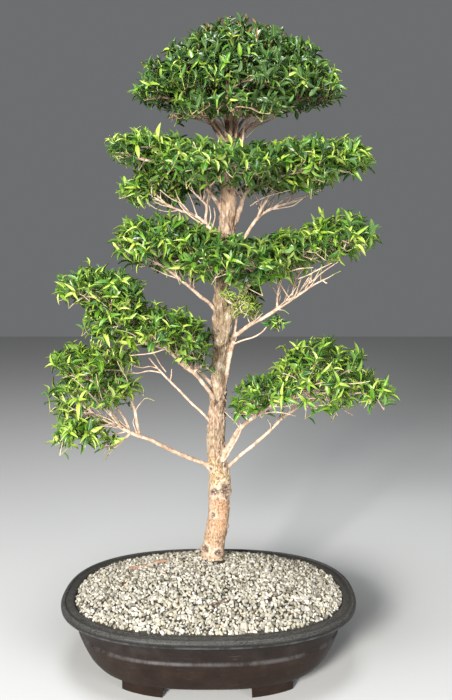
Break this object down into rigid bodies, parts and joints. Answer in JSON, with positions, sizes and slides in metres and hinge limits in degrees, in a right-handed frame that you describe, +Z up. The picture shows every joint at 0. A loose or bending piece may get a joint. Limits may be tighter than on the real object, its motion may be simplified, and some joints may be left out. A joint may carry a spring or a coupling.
{
  "type": "potted bonsai tree",
  "caption": "Brush cherry bonsai in formal upright style with cloud-like leaf tiers on a bare trunk, planted in pumice gravel in a low oval plastic training pot on feet",
  "frame": {"origin": "centre of the bounding box at the level of the pot's feet", "axes": "+Z up along the trunk, +X to the right of the front view along the pot's long axis, -Y toward the viewer"},
  "size_m": [0.5516, 0.3786, 0.9859],
  "materials": {
    "pot_plastic": "moulded charcoal-brown plastic, satin, scuffed on the rim",
    "screen_plastic": "black plastic mesh",
    "gravel": "loose pale pumice grains of 3 to 6 mm",
    "bark": "rough flaking bark, grey-brown above and peach-tan with grey patches on the lower trunk",
    "leaves": "small glossy evergreen leaves, yellow-green at the tips"
  },
  "bodies": {
    "root": {"pot": "pot_plastic", "drain_screen_left": "screen_plastic", "drain_screen_right": "screen_plastic", "soil": "gravel", "bark_flake": "bark", "trunk_and_branches": "bark", "leaves_crown": "leaves", "leaves_second_tier": "leaves", "leaves_third_tier": "leaves", "leaves_left_upper": "leaves", "leaves_left_lower": "leaves", "leaves_right_lower": "leaves", "leaves_side_twig": "leaves"}
  },
  "joints": []
}
